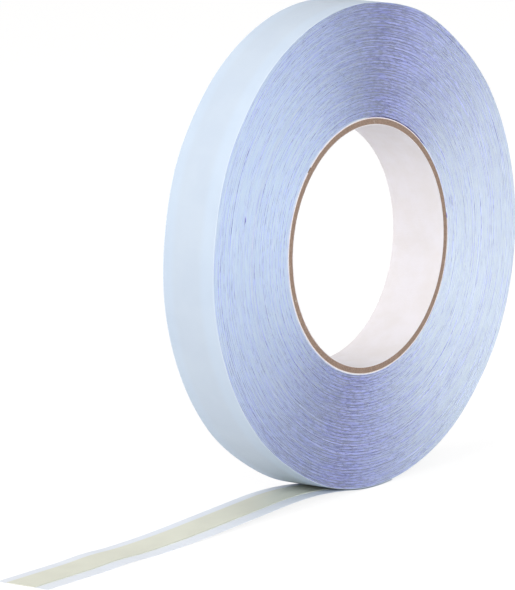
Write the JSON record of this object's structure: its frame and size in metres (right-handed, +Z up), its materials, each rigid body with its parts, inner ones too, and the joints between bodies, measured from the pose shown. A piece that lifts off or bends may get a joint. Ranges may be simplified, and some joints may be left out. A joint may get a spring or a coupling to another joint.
{
  "type": "roll of grip tape",
  "caption": "Roll of narrow double-coated tape on a wide pale blue liner, wound on a cardboard core and standing on edge with a free tail drawn off along the surface.",
  "frame": {"origin": "centre of the core's bore, halfway through the roll's width", "axes": "+Y along the bore, from the side that faces the viewer to the far side; +Z up; the free tail lies along -X on the surface that the roll stands on"},
  "size_m": [0.2343, 0.0204, 0.1539],
  "materials": {
    "white_ply": "smooth uncoated white paper",
    "core_board": "raw cut edge of brown core board",
    "core_wrap": "white paper tape",
    "wound_strip": "satin stack of cut liner edges",
    "liner": "glassine with a release coat, satin, slightly translucent",
    "carrier": "thin tissue soaked with adhesive",
    "adhesive": "clear tacky coat, slightly creamy"
  },
  "bodies": {
    "tail": {"tail_liner": "liner", "tail_lower_adhesive": "adhesive", "tail_carrier": "carrier", "tail_upper_adhesive": "adhesive"},
    "roll": {"core_inner_ply": "white_ply", "core_board_ply_1": "core_board", "core_board_ply_2": "core_board", "core_board_ply_3": "core_board", "core_board_ply_4": "core_board", "core_wrap_long": "core_wrap", "core_wrap_short": "core_wrap", "first_turn": "wound_strip", "wound_turns": "wound_strip", "last_turn_tape": "carrier", "last_turn_liner": "liner"}
  },
  "joints": [
    {"name": "roll_spin", "type": "hinge", "parent": "tail", "child": "roll", "pos_m": [0, 0, 0], "axis": [0, 1, 0], "continuous": true}
  ]
}
